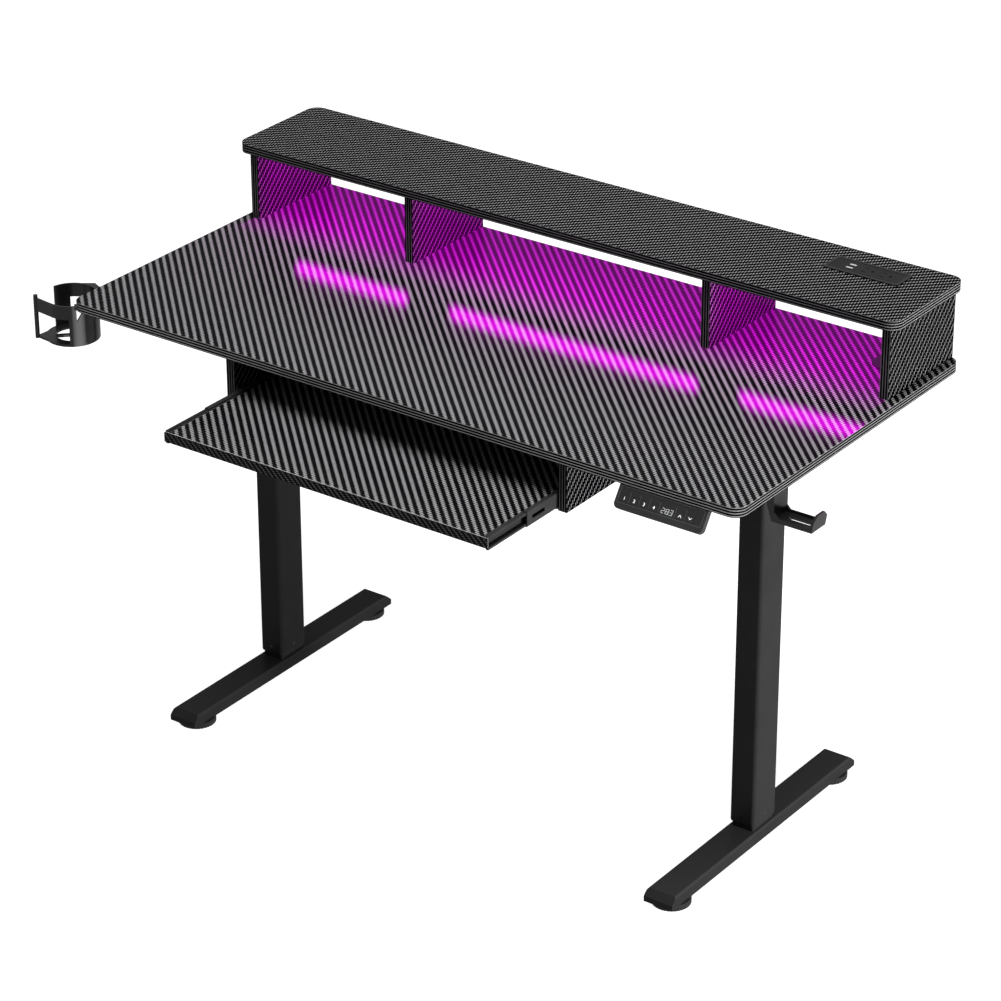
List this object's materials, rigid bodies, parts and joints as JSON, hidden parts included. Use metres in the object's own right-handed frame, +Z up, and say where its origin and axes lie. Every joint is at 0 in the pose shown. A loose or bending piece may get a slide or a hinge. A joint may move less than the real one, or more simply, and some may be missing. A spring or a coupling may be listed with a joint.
{
  "type": "gaming desk",
  "caption": "Height-adjustable gaming desk with a monitor shelf, lit bays, a keyboard tray on slides, a socket module, a cup holder and a headphone hook.",
  "frame": {"origin": "on the floor, under the centre of the whole object's outline with the tray pulled out as in the picture", "axes": "+X to the right of somebody who sits at the desk, +Y from that person to the shelf at the rear, +Z up"},
  "size_m": [1.3516, 0.7524, 0.85],
  "materials": {
    "laminate": "carbon-look laminate, glossy",
    "edge_band": "glossy edge band with fine lines",
    "frame_paint": "black powder coat, satin",
    "zinc": "zinc plated",
    "bare_steel": "machined",
    "screw_black": "black oxide",
    "nut_brass": "machined",
    "bush_plastic": "moulded",
    "cast_alloy": "die cast, dark",
    "motor_can": "dark can",
    "glide_plastic": "ribbed",
    "dowel_wood": "beech",
    "moulded_black": "fine texture",
    "gloss_black": "polished",
    "light": "lit diffuser"
  },
  "bodies": {
    "left_leg": {"foot_left": "frame_paint", "foot_bolts_left": "screw_black", "inner_tube_left": "frame_paint", "upper_bush_left": "bush_plastic", "spindle_nut_left": "nut_brass"},
    "top": {"outer_tube_left": "frame_paint", "outer_tube_right": "frame_paint", "lower_bushes": "bush_plastic", "gear_housing_left": "cast_alloy", "gear_housing_right": "cast_alloy", "motor_gearbox": "cast_alloy", "motor": "motor_can", "side_brackets": "frame_paint", "cross_rails": "frame_paint", "frame_bolts": "screw_black", "underside_screws": "screw_black", "shelf_screws": "screw_black", "dowels": "dowel_wood", "desktop": "laminate", "shelf_top": "laminate", "shelf_panel_left": "laminate", "shelf_divider_left": "laminate", "shelf_divider_right": "laminate", "shelf_panel_right": "laminate", "light_bar_housings": "moulded_black", "light_bar_diffusers": "light", "power_module_housing": "moulded_black", "power_module_face": "gloss_black", "cable_grommet": "moulded_black", "side_board_left": "laminate", "side_board_right": "laminate", "slide_outer_members": "zinc", "control_box": "moulded_black", "controller_housing": "moulded_black", "controller_face": "gloss_black", "cup_holder": "moulded_black", "headphone_hook": "moulded_black"},
    "right_leg": {"foot_right": "frame_paint", "foot_bolts_right": "screw_black", "inner_tube_right": "frame_paint", "upper_bush_right": "bush_plastic", "spindle_nut_right": "nut_brass"},
    "tray": {"slide_inner_members": "zinc", "tray_board": "laminate", "tray_front_strip": "edge_band"},
    "slide_middles": {"slide_middle_members": "zinc"},
    "rod": {"drive_rod": "bare_steel"},
    "screw_left": {"spindle_left": "bare_steel"},
    "screw_right": {"spindle_right": "bare_steel"},
    "button_1": {"key_1": "gloss_black"},
    "button_2": {"key_2": "gloss_black"},
    "button_3": {"key_3": "gloss_black"},
    "button_4": {"key_4": "gloss_black"},
    "button_up": {"key_up": "gloss_black"},
    "button_down": {"key_down": "gloss_black"},
    "leveller_front_left": {"glide_front_left": "glide_plastic"},
    "leveller_rear_left": {"glide_rear_left": "glide_plastic"},
    "leveller_front_right": {"glide_front_right": "glide_plastic"},
    "leveller_rear_right": {"glide_rear_right": "glide_plastic"}
  },
  "joints": [
    {"name": "lift", "type": "slide", "parent": "left_leg", "child": "top", "axis": [0, 0, 1], "range_m": [0, 0.462]},
    {"name": "right_leg_lift", "type": "slide", "parent": "top", "child": "right_leg", "axis": [0, 0, -1], "range_m": [0, 0.462]},
    {"name": "tray_slide", "type": "slide", "parent": "top", "child": "tray", "axis": [0, -1, 0], "range_m": [-0.162, 0.078]},
    {"name": "slide_middle_slide", "type": "slide", "parent": "top", "child": "slide_middles", "axis": [0, -1, 0], "range_m": [-0.081, 0.039]},
    {"name": "rod_turn", "type": "hinge", "parent": "top", "child": "rod", "pos_m": [0.01075, 0.07615, 0.679], "axis": [1, 0, 0], "continuous": true},
    {"name": "screw_left_turn", "type": "hinge", "parent": "top", "child": "screw_left", "pos_m": [-0.44175, 0.07615, 0.679], "axis": [0, 0, 1], "continuous": true},
    {"name": "screw_right_turn", "type": "hinge", "parent": "top", "child": "screw_right", "pos_m": [0.46325, 0.07615, 0.679], "axis": [0, 0, 1], "continuous": true},
    {"name": "press_1", "type": "slide", "parent": "top", "child": "button_1", "axis": [0, 0.8231, -0.5678], "range_m": [0, 0.0005], "stiffness_N_per_m": 1200, "springref_m": -0.0005},
    {"name": "press_2", "type": "slide", "parent": "top", "child": "button_2", "axis": [0, 0.8231, -0.5678], "range_m": [0, 0.0005], "stiffness_N_per_m": 1200, "springref_m": -0.0005},
    {"name": "press_3", "type": "slide", "parent": "top", "child": "button_3", "axis": [0, 0.8231, -0.5678], "range_m": [0, 0.0005], "stiffness_N_per_m": 1200, "springref_m": -0.0005},
    {"name": "press_4", "type": "slide", "parent": "top", "child": "button_4", "axis": [0, 0.8231, -0.5678], "range_m": [0, 0.0005], "stiffness_N_per_m": 1200, "springref_m": -0.0005},
    {"name": "press_up", "type": "slide", "parent": "top", "child": "button_up", "axis": [0, 0.8231, -0.5678], "range_m": [0, 0.0005], "stiffness_N_per_m": 1200, "springref_m": -0.0005},
    {"name": "press_down", "type": "slide", "parent": "top", "child": "button_down", "axis": [0, 0.8231, -0.5678], "range_m": [0, 0.0005], "stiffness_N_per_m": 1200, "springref_m": -0.0005},
    {"name": "leveller_front_left_turn", "type": "hinge", "parent": "left_leg", "child": "leveller_front_left", "pos_m": [-0.44175, -0.14385, 0], "axis": [0, 0, 1], "continuous": true},
    {"name": "leveller_rear_left_turn", "type": "hinge", "parent": "left_leg", "child": "leveller_rear_left", "pos_m": [-0.44175, 0.29615, 0], "axis": [0, 0, 1], "continuous": true},
    {"name": "leveller_front_right_turn", "type": "hinge", "parent": "right_leg", "child": "leveller_front_right", "pos_m": [0.46325, -0.14385, 0], "axis": [0, 0, 1], "continuous": true},
    {"name": "leveller_rear_right_turn", "type": "hinge", "parent": "right_leg", "child": "leveller_rear_right", "pos_m": [0.46325, 0.29615, 0], "axis": [0, 0, 1], "continuous": true}
  ],
  "couplings": [
    {"joint": "right_leg_lift", "follows": "lift", "ratio": 1},
    {"joint": "slide_middle_slide", "follows": "tray_slide", "ratio": 0.5},
    {"joint": "rod_turn", "follows": "lift", "rad_per_m": 785.4},
    {"joint": "screw_left_turn", "follows": "lift", "rad_per_m": 785.4},
    {"joint": "screw_right_turn", "follows": "lift", "rad_per_m": 785.4}
  ]
}
